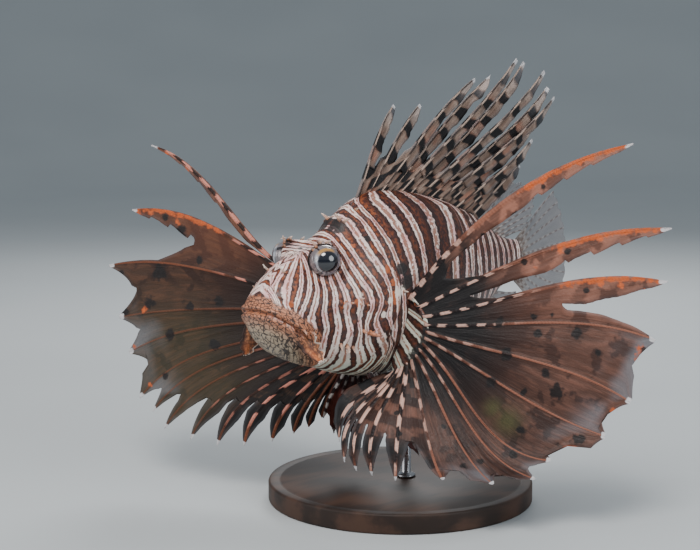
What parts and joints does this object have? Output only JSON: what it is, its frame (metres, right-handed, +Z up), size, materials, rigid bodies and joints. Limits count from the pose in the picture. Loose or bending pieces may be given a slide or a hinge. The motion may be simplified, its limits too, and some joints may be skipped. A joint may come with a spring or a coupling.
{
  "type": "red lionfish display model",
  "caption": "Life-size still red lionfish with striped body, fanned pectoral fins and tall dorsal spines, held on a round display stand.",
  "frame": {"origin": "centre of the stand base's flat underside", "axes": "+Z up, the fish faces -Y, its left side is +X"},
  "size_m": [0.3241, 0.3126, 0.2641],
  "materials": {
    "fish_skin": "moist satin",
    "fin_skin": "moist satin",
    "eye_surface": "wet gloss",
    "stand_wood": "dark lacquer",
    "stand_steel": "satin"
  },
  "bodies": {
    "root": {"head": "fish_skin", "lower_jaw": "fish_skin", "gill_cover_left": "fish_skin", "gill_cover_right": "fish_skin", "torso_front": "fish_skin", "torso_rear": "fish_skin", "tail_root": "fish_skin", "pectoral_base_left": "fish_skin", "pectoral_base_right": "fish_skin", "lip_flap_left": "fish_skin", "lip_flap_right": "fish_skin", "pectoral_top_ray_left": "fin_skin", "pectoral_upper_left": "fin_skin", "pectoral_fan_left": "fin_skin", "pectoral_lower_left": "fin_skin", "pectoral_top_ray_right": "fin_skin", "pectoral_upper_right": "fin_skin", "pectoral_fan_right": "fin_skin", "pectoral_lower_right": "fin_skin", "dorsal_fin_spiny": "fin_skin", "dorsal_fin_soft": "fin_skin", "anal_fin": "fin_skin", "tail_fin": "fin_skin", "pelvic_fin_left": "fin_skin", "pelvic_fin_right": "fin_skin", "eye_left": "eye_surface", "eye_right": "eye_surface", "stand_base": "stand_wood", "stand_rod": "stand_steel"}
  },
  "joints": []
}
